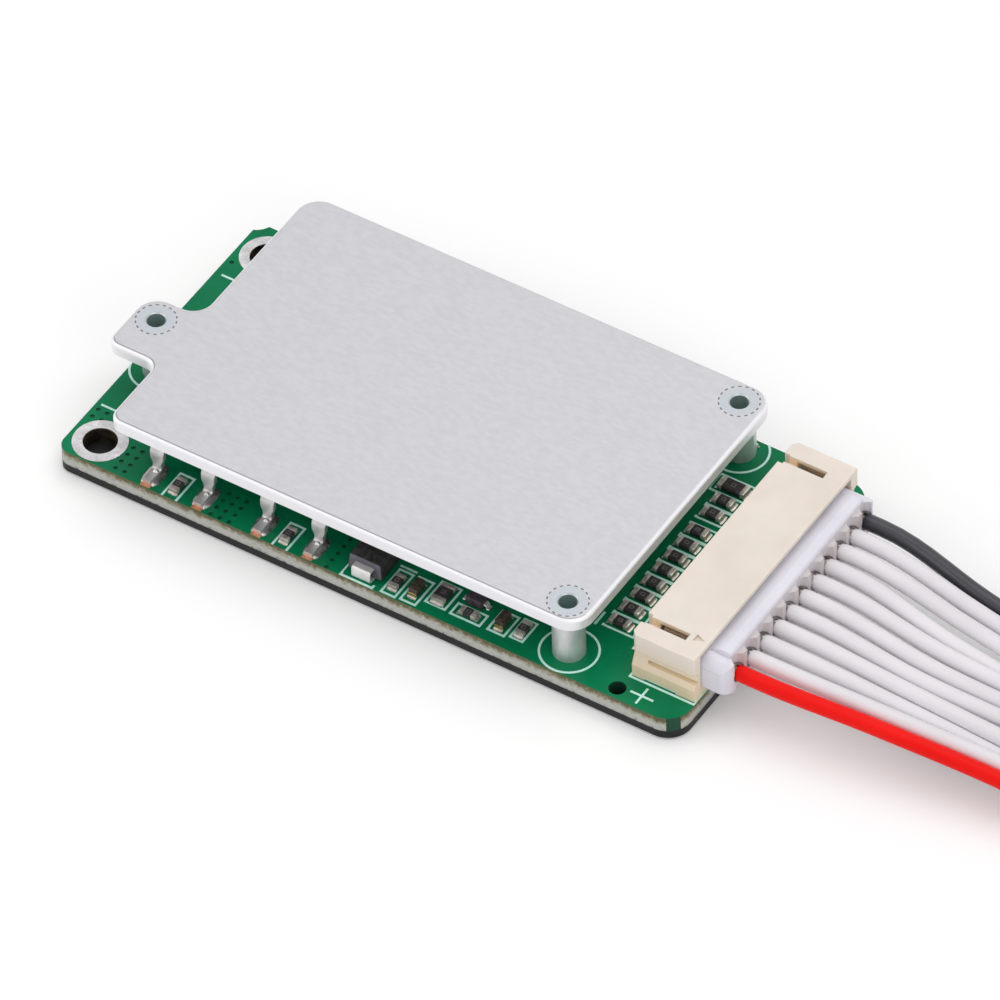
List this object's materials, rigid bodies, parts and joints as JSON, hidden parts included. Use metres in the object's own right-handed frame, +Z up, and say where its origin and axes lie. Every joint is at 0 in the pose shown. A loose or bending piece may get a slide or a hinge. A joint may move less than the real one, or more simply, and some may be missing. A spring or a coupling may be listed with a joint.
{
  "type": "battery management board",
  "caption": "Flat circuit board for a lithium battery pack: power transistors under an aluminium heat plate on threaded standoffs, with a side plug and a loose row of balance wires.",
  "frame": {"origin": "middle of the underside of the board, in plan at the circuit board's centre, which is where the assembly rests", "axes": "+X along the board towards the plug and wires, +Y across the board towards the side with the scalloped corner, +Z up out of the board through the heat plate"},
  "size_m": [0.1905, 0.0314, 0.0082],
  "materials": {
    "board": "glossy green solder mask on glass-fibre laminate",
    "legend": "printed white ink",
    "solder": "tinned copper",
    "sheet": "black insulating sheet",
    "plate": "clear anodised, satin",
    "nickel": "nickel plated",
    "thermal_pad": "soft silicone",
    "epoxy": "moulded epoxy",
    "resistor": "black resistor film on ceramic",
    "capacitor": "tan ceramic",
    "shunt": "dull alloy",
    "header": "moulded, slightly glossy, warm white",
    "contact": "plated brass",
    "plug": "moulded, cool white",
    "tin": "tinned bronze",
    "wire_red": "soft insulation",
    "wire_white": "soft insulation",
    "wire_black": "soft insulation"
  },
  "bodies": {
    "root": {"circuit_board": "board", "board_legend": "legend", "terminal_rings": "solder", "insulating_sheet": "sheet", "heat_plate": "plate", "standoff_front": "nickel", "standoff_back": "nickel", "standoff_tab": "nickel", "standoff_screws": "nickel", "thermal_pad": "thermal_pad", "mosfet_case_1": "epoxy", "mosfet_case_2": "epoxy", "mosfet_case_3": "epoxy", "mosfet_case_4": "epoxy", "mosfet_frame_1": "solder", "mosfet_frame_2": "solder", "mosfet_frame_3": "solder", "mosfet_frame_4": "solder", "solder_joints": "solder", "gate_resistors": "resistor", "gate_resistor_ends": "solder", "balance_resistors": "resistor", "balance_resistor_ends": "solder", "clamp_diode": "epoxy", "clamp_diode_leads": "solder", "filter_resistors": "resistor", "filter_resistor_ends": "solder", "filter_capacitors": "capacitor", "filter_capacitor_ends": "solder", "signal_diode": "epoxy", "signal_diode_leads": "solder", "protection_ic_1": "epoxy", "protection_ic_2": "epoxy", "protection_ic_leads": "solder", "shunt_resistors": "shunt", "header_housing": "header", "header_pins": "contact", "header_tabs": "solder", "plug_housing": "plug", "crimp_contacts": "tin", "wire_01": "wire_red", "wire_02": "wire_white", "wire_03": "wire_white", "wire_04": "wire_white", "wire_05": "wire_white", "wire_06": "wire_white", "wire_07": "wire_white", "wire_08": "wire_white", "wire_09": "wire_white", "wire_10": "wire_white", "wire_11": "wire_black"}
  },
  "joints": []
}
